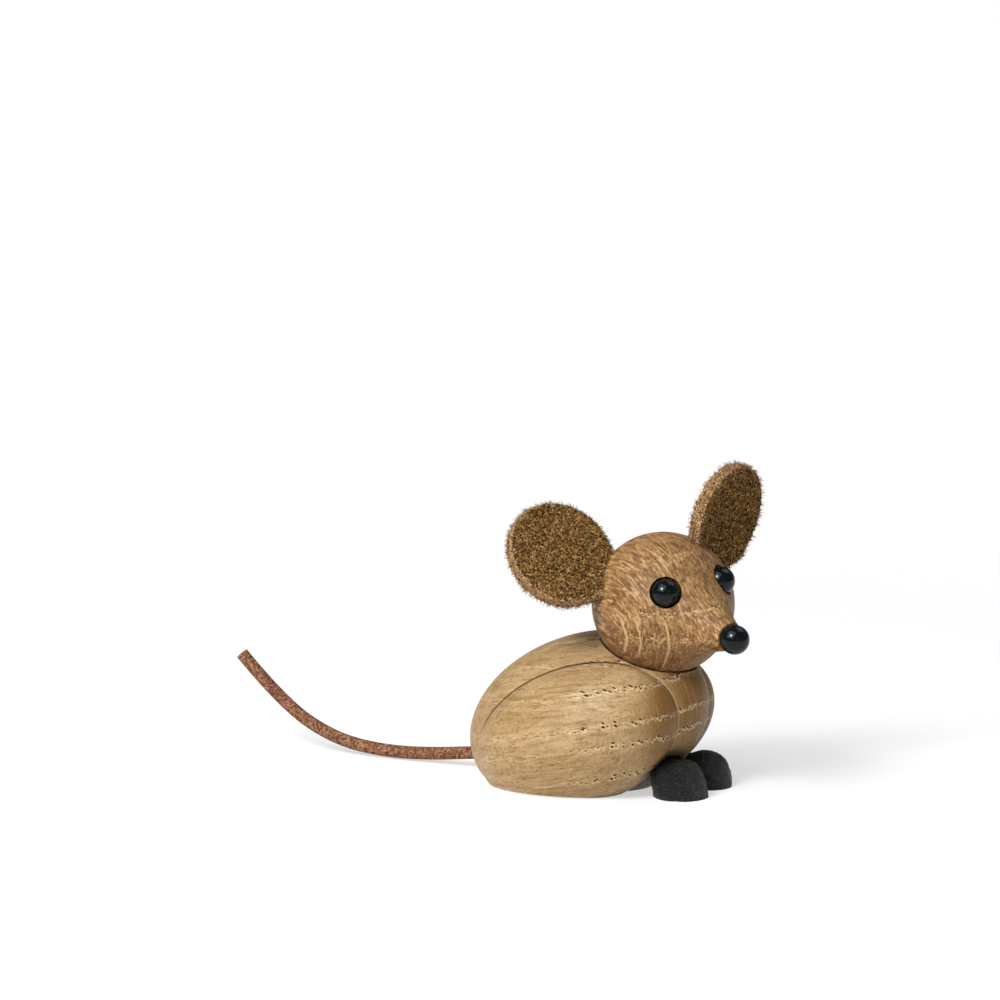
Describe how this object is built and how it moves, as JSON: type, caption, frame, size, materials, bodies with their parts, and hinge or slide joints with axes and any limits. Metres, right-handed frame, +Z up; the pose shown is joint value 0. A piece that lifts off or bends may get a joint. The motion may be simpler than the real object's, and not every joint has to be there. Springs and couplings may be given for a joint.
{
  "type": "mouse figurine",
  "caption": "Wooden mouse figurine with a carved oval body, ball head with concave snout, leather ears and tail, bead eyes and nose, and small dark feet; the head turns on a dowel",
  "frame": {"origin": "on the floor, in the middle of the flat face under the body, straight below the torso's centre", "axes": "the body faces -Y with its tail toward +Y, its left side is +X, and +Z is up"},
  "size_m": [0.0423, 0.114, 0.0619],
  "materials": {
    "light_oak": "finely sanded and oiled light oak with open pores",
    "smoked_oak": "finely sanded and oiled darker oak with open pores and ray flecks",
    "dowel_wood": "plain birch dowel",
    "black_wood": "black-stained coarse-grained wood, matt",
    "ear_suede": "thick dark brown suede with a rough nap on both faces and paler cut edges",
    "tail_leather": "round reddish brown leather cord with a fine nap",
    "black_bead": "polished blue-black"
  },
  "bodies": {
    "body": {"body": "light_oak", "tail": "tail_leather", "foot_right": "black_wood", "foot_left": "black_wood", "foot_dowel_right": "dowel_wood", "foot_dowel_left": "dowel_wood"},
    "head": {"head": "smoked_oak", "neck_dowel": "dowel_wood", "ear_right": "ear_suede", "ear_left": "ear_suede", "eye_right": "black_bead", "eye_left": "black_bead", "nose": "black_bead"}
  },
  "joints": [
    {"name": "head_turn", "type": "hinge", "parent": "body", "child": "head", "pos_m": [0, -0.0155, 0.03579], "axis": [0, -0.2687, 0.9632], "continuous": true}
  ]
}
